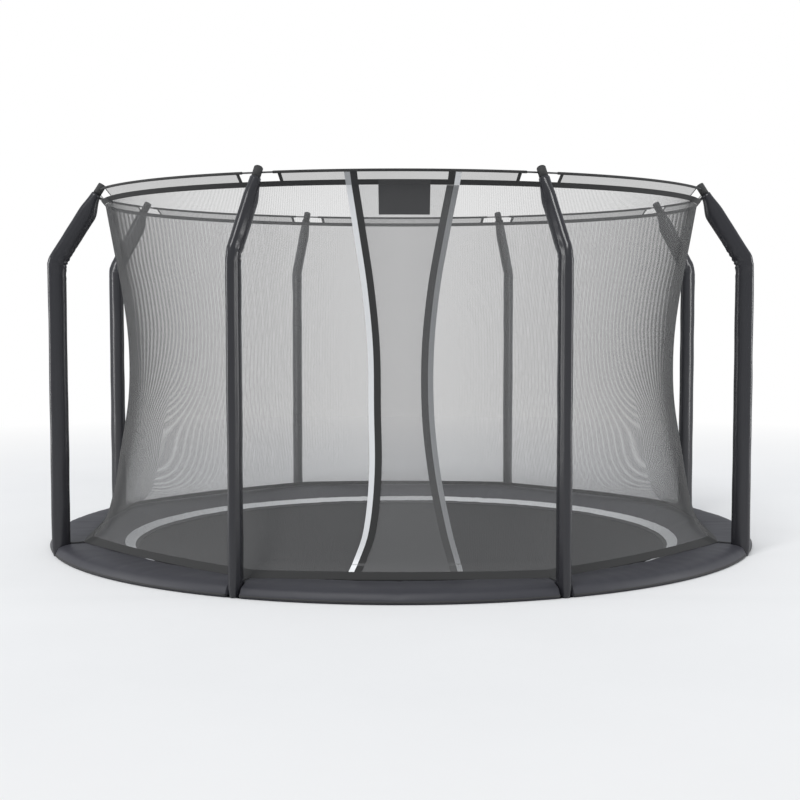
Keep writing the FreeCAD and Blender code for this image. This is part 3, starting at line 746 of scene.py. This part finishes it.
class TRAMPOLINE_OT_pad(bpy.types.Operator):
    """Make the spring cover with its piping and reflective band"""
    bl_idname = "trampoline.pad"
    bl_label = "Spring cover"

    def execute(self, context):
        pad = self.make_pad()
        self.make_strip("pad_band", 1.4935, 1.4395, "bright_tape", "reflective_tape", 0.0016)
        self.make_strip("pad_hem", 1.4375, 1.4235, "webbing", "webbing", 0.0022)
        self.make_piping()
        return {"FINISHED"}

    def top_at(self, radius):
        rows = [(-r, z) for r, z in PAD_TOP[1:]]
        return LAWN_Z + smooth_row(rows, -radius)[0]

    def unevenness(self, point):
        """Slow rise and fall of the foam at a point of the pad's top."""
        azimuth = azimuth_of(point)
        radius = math.hypot(point.x, point.y)
        lumps = noise.noise(Vector((point.x * 3.1, point.y * 3.1, 0.0)))
        ripple = noise.noise(Vector((azimuth * 0.55, radius * 6.0, 4.0)))
        sway = noise.noise(Vector((azimuth * 1.6, radius * 3.0, 9.0)))
        return 0.0030 * lumps + 0.0022 * ripple + 0.0016 * sway

    def outline(self):
        """Corners of the section: the top on a smooth curve, then the underside."""
        points = [PAD_TOP[0]]
        steps = 34
        first, last = PAD_TOP[1][0], PAD_TOP[-1][0]
        for k in range(steps + 1):
            share = k / steps
            radius = first + (last - first) * share ** 1.25
            points.append((radius, self.top_at(radius) - LAWN_Z))
        return points + PAD_UNDER

    def make_pad(self):
        bm = bmesh.new()
        points = [polar(0, radius, LAWN_Z + height) for radius, height in self.outline()]
        verts = [bm.verts.new(point) for point in points]
        edges = [bm.edges.new(pair) for pair in zip(verts, verts[1:] + verts[:1])]
        geometry = verts + edges
        for _ in range(POLE_COUNT):
            for degrees, steps in ((SEGMENT / 2 - 1.6, 26), (3.2, 30), (SEGMENT / 2 - 1.6, 26)):
                geometry = bmesh.ops.spin(
                    bm, geom=geometry, cent=(0, 0, 0), axis=(0, 0, 1), angle=math.radians(degrees),
                    steps=steps, use_duplicate=False,
                )["geom_last"]
        bmesh.ops.remove_doubles(bm, verts=bm.verts, dist=1e-5)
        self.shape(bm)
        bmesh.ops.recalc_face_normals(bm, faces=bm.faces)
        return new_piece("spring_cover", bm, finish_named("pad_vinyl"), replaces=["safety_pad"])

    def shape(self, bm):
        """Notches round the sleeves, sewn joints midway and a soft unevenness of the foam."""
        notch = 0.0325
        for vert in bm.verts:
            radius = math.hypot(vert.co.x, vert.co.y)
            azimuth = azimuth_of(vert.co)
            from_pole = (azimuth % SEGMENT) - SEGMENT / 2
            sideways = math.radians(from_pole) * POLE_RADIUS
            limit = radius
            if abs(sideways) < notch:
                limit = POLE_RADIUS - 0.0125 - 0.0490 * math.sqrt(1 - (sideways / notch) ** 2)
            height = vert.co.z - LAWN_Z
            on_top = height > self.top_at(min(radius, 1.8745)) - LAWN_Z - 0.004
            if on_top and 1.43 < radius < 1.872:
                from_joint = from_pole - SEGMENT / 2 + (SEGMENT if from_pole < 0 else 0)
                seam = math.exp(-(math.radians(from_joint) * 300) ** 2)
                vert.co.z += self.unevenness(vert.co) - 0.0025 * seam
            if limit < radius:
                vert.co.x *= limit / radius
                vert.co.y *= limit / radius

    def make_strip(self, name, outer, inner, material, slot, lift):
        """Sewn strip that follows the pad's inner slope all round."""
        bm = bmesh.new()
        layer = bm.loops.layers.uv.new("weave")
        steps = 4
        radii = [outer + (inner - outer) * k / steps for k in range(steps + 1)]
        verts = [bm.verts.new(polar(0, radius, self.top_at(radius) + lift)) for radius in radii]
        edges = [bm.edges.new(pair) for pair in zip(verts, verts[1:])]
        bmesh.ops.spin(bm, geom=verts + edges, cent=(0, 0, 0), axis=(0, 0, 1), angle=2 * math.pi, steps=360,
                       use_merge=True, use_duplicate=False)
        outward(bm)
        for vert in bm.verts:
            vert.co.z += self.unevenness(vert.co)
        for face in bm.faces:
            middle = azimuth_of(face.calc_center_median())
            for loop in face.loops:
                from_face = (azimuth_of(loop.vert.co) - middle + 180) % 360 - 180
                loop[layer].uv = (math.radians(middle + from_face) * 1.46, loop.vert.co.xy.length)
        up = sum(face.normal.z for face in bm.faces)
        if up < 0:
            bmesh.ops.reverse_faces(bm, faces=bm.faces)
        new_piece(name, bm, finish_named(material))

    def make_piping(self):
        """Sewn cord round the pad's rim, broken at each notch."""
        gap = math.degrees(0.034 / POLE_RADIUS)
        for number, azimuth in enumerate(pole_azimuths(), 1):
            run = TubeRun(0.0042, polar(azimuth + gap, 1.8735, LAWN_Z + 0.012), tangent(azimuth + gap), 10)
            run.turn(Vector((0, 0, LAWN_Z + 0.012)), Vector((0, 0, 1)), SEGMENT - 2 * gap, 48)
            close_ends(run.bm)
            outward(run.bm)
            new_piece("pad_piping_%d" % number, run.bm, finish_named("cap_plastic"))


class TRAMPOLINE_OT_mat(bpy.types.Operator):
    """Make the jumping mat and its border"""
    bl_idname = "trampoline.mat"
    bl_label = "Jumping mat"

    def execute(self, context):
        low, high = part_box("jumping_mat")
        radius = high.x
        bm = bmesh.new()
        bmesh.ops.create_circle(bm, cap_ends=True, segments=144, radius=radius,
                                matrix=Matrix.Translation((0, 0, high.z)))
        face = list(bm.faces)
        bmesh.ops.inset_region(bm, faces=face, thickness=0.05)
        extruded = bmesh.ops.extrude_face_region(bm, geom=list(bm.faces))["geom"]
        verts = [item for item in extruded if isinstance(item, bmesh.types.BMVert)]
        bmesh.ops.translate(bm, verts=verts, vec=(0, 0, low.z - high.z))
        outward(bm)
        mat = new_piece("mat_cloth", bm, finish_named("mat_weave"), body="mat",
                        replaces=["jumping_mat"], smooth=False)
        border = self.border(radius, high.z)
        return {"FINISHED"}

    def border(self, radius, z):
        bm = bmesh.new()
        layer = bm.loops.layers.uv.new("weave")
        verts = [bm.verts.new(polar(0, r, z + 0.0007)) for r in (radius - 0.05, radius - 0.0015)]
        edges = [bm.edges.new(verts)]
        bmesh.ops.spin(bm, geom=verts + edges, cent=(0, 0, 0), axis=(0, 0, 1), angle=2 * math.pi, steps=144,
                       use_merge=True, use_duplicate=False)
        outward(bm)
        if sum(face.normal.z for face in bm.faces) < 0:
            bmesh.ops.reverse_faces(bm, faces=bm.faces)
        for face in bm.faces:
            for loop in face.loops:
                loop[layer].uv = (azimuth_of(loop.vert.co) * 0.027, loop.vert.co.xy.length)
        return new_piece("mat_border", bm, finish_named("webbing"), body="mat")


class TRAMPOLINE_OT_springs(bpy.types.Operator):
    """Make the wound springs between the ring and the mat"""
    bl_idname = "trampoline.springs"
    bl_label = "Springs"

    def execute(self, context):
        per_segment = 9
        step = SEGMENT / per_segment
        outer_radius = RING_RADIUS - 0.0225
        low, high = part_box("mat_rings")
        inner = high.x - 0.004
        z = (low.z + high.z) / 2
        for k in range(POLE_COUNT * per_segment):
            azimuth = SEGMENT / 2 + step * (k + 0.5)
            start = polar(azimuth, outer_radius, RING_Z)
            end = polar(azimuth, inner, z)
            self.make_spring("spring_%02d" % (k + 1), start, end, azimuth)
        return {"FINISHED"}

    def make_spring(self, name, start, end, azimuth):
        """Closed coils on the line between two hooks."""
        along = (end - start).normalized()
        sideways = tangent(azimuth)
        coil, wire, hook = 0.0092, 0.0015, 0.022
        length = (end - start).length - 2 * hook
        turns = round(length / 0.0062)
        steps = 8
        first = start + along * hook + sideways * coil
        run = TubeRun(wire, first, along.cross(sideways), 4)
        bmesh.ops.spin(run.bm, geom=run.rim + run.edges, cent=start + along * hook, axis=along,
                       dvec=along * (length / (turns * steps)), angle=2 * math.pi * turns, steps=turns * steps,
                       use_duplicate=False)
        for tip, way in ((start, 1), (end, -1)):
            hook_run = TubeRun(wire, tip, along * way, 4, run.bm)
            hook_run.straight(hook)
        close_ends(run.bm)
        outward(run.bm)
        spring = new_piece(name, run.bm, finish_named("zinc_wire"), body=None,
                           replaces=["springs"])
        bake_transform(spring)


class TRAMPOLINE_OT_net(bpy.types.Operator):
    """Make the net's panels, the entrance flaps, hem and straps"""
    bl_idname = "trampoline.net"
    bl_label = "Net"

    def execute(self, context):
        sizes = context.scene.trampoline_sizes
        low = LAWN_Z + NET_PROFILE[0][0]
        high = LAWN_Z + NET_PROFILE[-1][0]
        for number in range(1, POLE_COUNT):
            middle = SEGMENT * number
            span = (middle - SEGMENT / 2, middle + SEGMENT / 2)
            bm = net_grid(28, 44, low, high, lambda z: span, lambda across, up: 0.0006)
            panel = new_piece("net_cloth_%d" % number, bm, finish_named("net_mesh"),
                              replaces=["net_panel_%d" % number])
            hem = self.strip("hem_%d" % number, low, low + sizes.hem_height, span, 0.0)
            wales = net_wales("net_wales_%d" % number, round(1.24 / WALE_PITCH), low, high, lambda z: span,
                              lambda across, up: 0.0008)
        for side, name in ((1, "outer"), (-1, "inner")):
            self.make_flap(side, name, low, high, sizes)
        self.make_straps()
        return {"FINISHED"}

    def flap_inset(self, side):
        """The inner flap lies 7 mm behind the outer one and meets it at its own pole."""
        if side == 1:
            return lambda across, up: 0.0006
        return lambda across, up: 0.0006 + 0.007 * min(1.0, (1 - across) * 2)

    def make_flap(self, side, name, low, high, sizes):
        def azimuths(z):
            return edge_azimuth(side, z), side * SEGMENT / 2

        bm = net_grid(26, 48, low, high, azimuths, self.flap_inset(side))
        flap = new_piece("flap_%s" % name, bm, finish_named("net_mesh"),
                         replaces=["entrance_flap_%s" % name])
        # The inner flap's stripe gets the darker copy of the tape, which is painted shade
        tape = "bright_tape" if side == 1 else "tape_painted_shade"
        for part, near, far, material, lift in (
            ("trim", 0.022, 0.055, "webbing", 0.0012),
            ("stripe", 0.0, 0.024, tape, 0.0020),
        ):
            def strip_azimuths(z, near=near, far=far):
                return edge_azimuth(side, z, near), edge_azimuth(side, z, far)

            inset = -lift if side == 1 else 0.007 - lift
            bm = net_grid(2, 60, low + sizes.hem_height, high, strip_azimuths, lambda across, up: inset)
            replaces = ["entrance_edges"] if part == "stripe" else ()
            slot = "webbing" if part == "trim" else "reflective_tape"
            new_piece("flap_%s_%s" % (name, part), bm, finish_named(material),
                                    replaces=replaces)
        inset = self.flap_inset(side)
        bm = net_grid(26, 2, low, low + sizes.hem_height, azimuths, lambda across, up: inset(across, up) - 0.0012)
        new_piece("hem_%s" % name, bm, finish_named("webbing"), replaces=["net_hem"])
        net_wales("flap_%s_wales" % name, round(0.80 / WALE_PITCH), low, high, azimuths,
                                lambda across, up: inset(across, up) + 0.0002)

    def strip(self, name, low, high, span, inset):
        bm = net_grid(28, 2, low, high, lambda z: span, lambda across, up: inset - 0.0008)
        return new_piece(name, bm, finish_named("webbing"), replaces=["net_hem"])

    def make_straps(self):
        """Flat strap from each corner of the hem down to its pole."""
        for number, azimuth in enumerate(pole_azimuths(), 1):
            start = polar(azimuth, NET_PROFILE[0][2], LAWN_Z + 0.066)
            end = polar(azimuth, POLE_RADIUS - 0.0595, LAWN_Z + 0.0635)
            bm = bmesh.new()
            layer = bm.loops.layers.uv.new("weave")
            bmesh.ops.create_grid(bm, x_segments=2, y_segments=8, size=0.5)
            for vert in bm.verts:
                across, up = vert.co.x, vert.co.y + 0.5
                sag = -0.0010 * math.sin(math.pi * up)
                vert.co = start.lerp(end, up) + tangent(azimuth) * (across * 0.022) + Vector((0, 0, sag))
            for face in bm.faces:
                for loop in face.loops:
                    offset = loop.vert.co - start
                    loop[layer].uv = (offset.dot(tangent(azimuth)), offset.length)
            bmesh.ops.solidify(bm, geom=list(bm.faces), thickness=0.0018)
            outward(bm)
            new_piece("strap_%d" % number, bm, finish_named("webbing"), replaces=["net_straps"])


class TRAMPOLINE_OT_band(bpy.types.Operator):
    """Make the band at the net's top, with its ribbon, piping and blank patch"""
    bl_idname = "trampoline.band"
    bl_label = "Top band"

    def execute(self, context):
        sizes = context.scene.trampoline_sizes
        ribbon_top = HOOP_Z - 0.004 - sizes.band_height
        ribbon_low = ribbon_top - sizes.ribbon_height
        for number in range(POLE_COUNT):
            middle = SEGMENT * number
            self.make_mesh(number, middle, ribbon_top, sizes)
            self.make_piping(number, middle, sizes)
        self.make_ribbon(ribbon_low, ribbon_top)
        self.make_patch()
        self.make_stripes(ribbon_low)
        return {"FINISHED"}

    def band_radius(self, z):
        low, high = LAWN_Z + NET_PROFILE[-1][0], HOOP_Z
        share = (z - low) / (high - low)
        return NET_PROFILE[-1][1] + (HOOP_RADIUS - 0.005 - NET_PROFILE[-1][1]) * share

    def band_grid(self, columns, rows, low, high, span_at, lift):
        bm = bmesh.new()
        layer = bm.loops.layers.uv.new("weave")
        bmesh.ops.create_grid(bm, x_segments=columns, y_segments=rows, size=0.5)
        for vert in bm.verts:
            across, up = vert.co.x + 0.5, vert.co.y + 0.5
            z = low + (high - low) * up
            start, end = span_at(up)
            vert.co = polar(start + (end - start) * across, self.band_radius(z) + lift, z)
        map_weave(bm, layer, BAND_MAP_RADIUS)
        return bm

    def make_mesh(self, number, middle, ribbon_top, sizes):
        window = math.degrees(sizes.window_half / HOOP_RADIUS)
        reach = SEGMENT / 2 - window

        def span(up):
            return middle - reach, middle + reach

        bm = self.band_grid(40, 4, ribbon_top, HOOP_Z - 0.003, span, 0.0)
        band = new_piece("band_mesh_%d" % number, bm, finish_named("band_mesh"),
                         replaces=["net_top_band"])
        for side, word in ((-1, "left"), (1, "right")):
            edge = middle + side * reach

            def trim_span(up, side=side, edge=edge):
                return edge - side * 0.60, edge

            bm = self.band_grid(2, 4, ribbon_top, HOOP_Z - 0.003, trim_span, 0.0012)
            new_piece("band_trim_%s_%d" % (word, number), bm, finish_named("webbing"))

    def make_piping(self, number, middle, sizes):
        """Tunnel of cloth round the hoop between two windows."""
        window = math.degrees((sizes.window_half - 0.018) / HOOP_RADIUS)
        start = middle - SEGMENT / 2 + window
        run = TubeRun(sizes.piping_radius, polar(start, HOOP_RADIUS, HOOP_Z), tangent(start), 14)
        run.turn(Vector((0, 0, HOOP_Z)), Vector((0, 0, 1)), SEGMENT - 2 * window, 28)
        outward(run.bm)
        layer = run.bm.loops.layers.uv.new("weave")
        for face in run.bm.faces:
            for loop in face.loops:
                loop[layer].uv = (azimuth_of(loop.vert.co) * 0.028, loop.vert.co.z)
        new_piece("hoop_tunnel_%d" % number, run.bm, finish_named("webbing"))

    def make_ribbon(self, low, high):
        for number in range(POLE_COUNT):
            middle = SEGMENT * number
            span = (middle - SEGMENT / 2, middle + SEGMENT / 2)
            bm = self.band_grid(40, 2, low, high, lambda up: span, 0.0012)
            new_piece("ribbon_%d" % number, bm, finish_named("webbing"))

    def make_stripes(self, low):
        """The entrance's two stripes carried up over the ribbon, the band and the rod."""
        # The left stripe over the band gets the darker copy of the tape, which is painted shade, although the
        # flap's stripe under it is bright
        for side, name, material in ((1, "left", "tape_painted_shade"), (-1, "right", "bright_tape")):
            start = edge_azimuth(side, LAWN_Z + NET_PROFILE[-1][0])
            bands = (("stripe", 0.0, 0.9, material, 0.0022), ("trim", 0.86, 2.0, "webbing", 0.0018))
            for part, near, far, finish, lift in bands:
                span = (start + side * near, start + side * far)
                bm = self.band_grid(3, 6, low, HOOP_Z - 0.002, lambda up, span=span: span, lift)
                new_piece("band_%s_%s" % (part, name), bm, finish_named(finish))

    def make_patch(self):
        """Plain sewn patch over the ribbon, left bare."""
        low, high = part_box("label_patch")
        start = math.degrees(math.asin(low.x / NET_PROFILE[-1][1]))
        end = math.degrees(math.asin(high.x / NET_PROFILE[-1][1]))
        bm = net_grid(16, 10, low.z, LAWN_Z + NET_PROFILE[-1][0], lambda z: (start, end), lambda a, b: -0.0026)
        patch = new_piece("label_blank", bm, finish_named("label_cloth"), replaces=["label_patch"])
        bm = self.band_grid(16, 2, LAWN_Z + NET_PROFILE[-1][0], high.z, lambda up: (start, end), 0.0026)
        fold = new_piece("label_fold", bm, finish_named("label_cloth"))


class TRAMPOLINE_OT_stage(bpy.types.Operator):
    """Make the floor with its pit, the light and the camera"""
    bl_idname = "trampoline.stage"
    bl_label = "Stage"

    def execute(self, context):
        self.make_floor()
        self.make_light(context)
        self.make_camera(context)
        return {"FINISHED"}

    def floor_material(self):
        """Pale floor that runs out into the white background."""
        finish = Finish("floor")
        place = finish.place()
        across, along, _ = finish.split(place)
        distance = (across * across + along * along) ** 0.5
        fade = ((distance - 3.2) / 5.0).clamped()
        cloud = finish.noise(place, 1.5, 4.0)
        colour = finish.mix(cloud, (0.80, 0.80, 0.80, 1), (0.84, 0.84, 0.84, 1))
        diffuse = finish.node("ShaderNodeBsdfPrincipled", {}, {"Base Color": colour, "Roughness": 0.9})
        glow = finish.node("ShaderNodeEmission", {}, {"Color": (1, 1, 1, 1), "Strength": 1.0})
        seen = finish.node("ShaderNodeLightPath", {}, {}, "Is Camera Ray")
        shader = finish.node("ShaderNodeMixShader", {}, {0: fade * seen, 1: diffuse, 2: glow})
        finish.tree.links.new(shader.socket, finish.output.inputs["Surface"])
        return finish.material

    def make_floor(self):
        bm = bmesh.new()
        rim, depth, far = 1.868, -0.0012, 40.0
        inner = bmesh.ops.create_circle(bm, segments=160, radius=rim, matrix=Matrix.Translation((0, 0, LAWN_Z)))
        outer = bmesh.ops.create_circle(bm, segments=160, radius=far, matrix=Matrix.Translation((0, 0, LAWN_Z)))
        inner_edges = list({edge for vert in inner["verts"] for edge in vert.link_edges})
        outer_edges = list({edge for vert in outer["verts"] for edge in vert.link_edges})
        bmesh.ops.bridge_loops(bm, edges=inner_edges + outer_edges)
        wall = bmesh.ops.extrude_edge_only(bm, edges=inner_edges)["geom"]
        foot = [item for item in wall if isinstance(item, bmesh.types.BMVert)]
        bmesh.ops.translate(bm, verts=foot, vec=(0, 0, depth - LAWN_Z))
        bmesh.ops.contextual_create(bm, geom=foot)
        bmesh.ops.recalc_face_normals(bm, faces=bm.faces)
        mesh = bpy.data.meshes.new("floor")
        bm.to_mesh(mesh)
        bm.free()
        mesh.materials.append(self.floor_material())
        floor = bpy.data.objects.new("floor", mesh)
        bpy.context.scene.collection.objects.link(floor)

    def make_light(self, context):
        world = bpy.data.worlds.new("studio")
        context.scene.world = world
        world.use_nodes = True
        tree = world.node_tree
        tree.nodes.clear()
        output = tree.nodes.new("ShaderNodeOutputWorld")
        mixer = tree.nodes.new("ShaderNodeMixShader")
        soft = tree.nodes.new("ShaderNodeBackground")
        white = tree.nodes.new("ShaderNodeBackground")
        path = tree.nodes.new("ShaderNodeLightPath")
        soft.inputs["Color"].default_value = (0.93, 0.96, 1.0, 1)
        soft.inputs["Strength"].default_value = 0.60
        white.inputs["Color"].default_value = (1, 1, 1, 1)
        seen = tree.nodes.new("ShaderNodeMath")
        seen.operation = "MAXIMUM"
        tree.links.new(path.outputs["Is Camera Ray"], seen.inputs[0])
        tree.links.new(path.outputs["Is Transmission Ray"], seen.inputs[1])
        tree.links.new(seen.outputs[0], mixer.inputs[0])
        tree.links.new(soft.outputs[0], mixer.inputs[1])
        tree.links.new(white.outputs[0], mixer.inputs[2])
        tree.links.new(mixer.outputs[0], output.inputs["Surface"])
        sun = bpy.data.lights.new("sky_light", "SUN")
        sun.energy = 1.5
        sun.angle = math.radians(25)
        lamp = bpy.data.objects.new("sky_light", sun)
        lamp.rotation_euler = (math.radians(32), math.radians(-14), 0)
        context.scene.collection.objects.link(lamp)
        for azimuth, word in ((-78, "left"), (78, "right")):
            panel = bpy.data.lights.new("strip_light_%s" % word, "AREA")
            panel.shape = "RECTANGLE"
            panel.size = 1.2
            panel.size_y = 4.0
            panel.energy = 130.0
            strip = bpy.data.objects.new("strip_light_%s" % word, panel)
            strip.location = polar(azimuth, 7.0, 2.2)
            strip.rotation_euler = (math.radians(90), 0, math.radians(azimuth))
            context.scene.collection.objects.link(strip)

    def make_camera(self, context):
        sizes = context.scene.trampoline_sizes
        data = bpy.data.cameras.new("camera")
        data.sensor_width = 36.0
        data.lens = sizes.camera_lens
        data.shift_x = -0.0101
        camera = bpy.data.objects.new("camera", data)
        camera.location = (CAMERA_SIDE, -sizes.camera_distance, LAWN_Z + sizes.camera_height)
        camera.rotation_euler = (math.radians(90 - sizes.camera_pitch), 0, 0)
        context.scene.collection.objects.link(camera)
        context.scene.camera = camera
        context.scene.view_settings.view_transform = "Standard"


STEPS = (
    TRAMPOLINE_OT_finishes,
    TRAMPOLINE_OT_poles,
    TRAMPOLINE_OT_hoop,
    TRAMPOLINE_OT_pad,
    TRAMPOLINE_OT_mat,
    TRAMPOLINE_OT_springs,
    TRAMPOLINE_OT_net,
    TRAMPOLINE_OT_band,
    TRAMPOLINE_OT_stage,
)


class TRAMPOLINE_PT_panel(bpy.types.Panel):
    """Sizes, colours and steps of the trampoline"""
    bl_idname = "TRAMPOLINE_PT_panel"
    bl_label = "Trampoline"
    bl_space_type = "VIEW_3D"
    bl_region_type = "UI"
    bl_category = "Trampoline"

    def draw(self, context):
        for group in (context.scene.trampoline_sizes, context.scene.trampoline_colours):
            for name in group.__annotations__:
                self.layout.prop(group, name)
        for step in STEPS:
            self.layout.operator(step.bl_idname)


CLASSES = (TrampolineSizes, TrampolineColours) + STEPS + (TRAMPOLINE_PT_panel,)


def register():
    for each in CLASSES:
        bpy.utils.register_class(each)
    bpy.types.Scene.trampoline_sizes = bpy.props.PointerProperty(type=TrampolineSizes)
    bpy.types.Scene.trampoline_colours = bpy.props.PointerProperty(type=TrampolineColours)


def unregister():
    del bpy.types.Scene.trampoline_colours
    del bpy.types.Scene.trampoline_sizes
    for each in reversed(CLASSES):
        bpy.utils.unregister_class(each)


def main():
    register()
    bpy.ops.trampoline.finishes()
    bpy.ops.trampoline.poles()
    bpy.ops.trampoline.hoop()
    bpy.ops.trampoline.pad()
    bpy.ops.trampoline.mat()
    bpy.ops.trampoline.springs()
    bpy.ops.trampoline.net()
    bpy.ops.trampoline.band()
    bpy.ops.trampoline.stage()


if __name__ == "__main__":
    main()
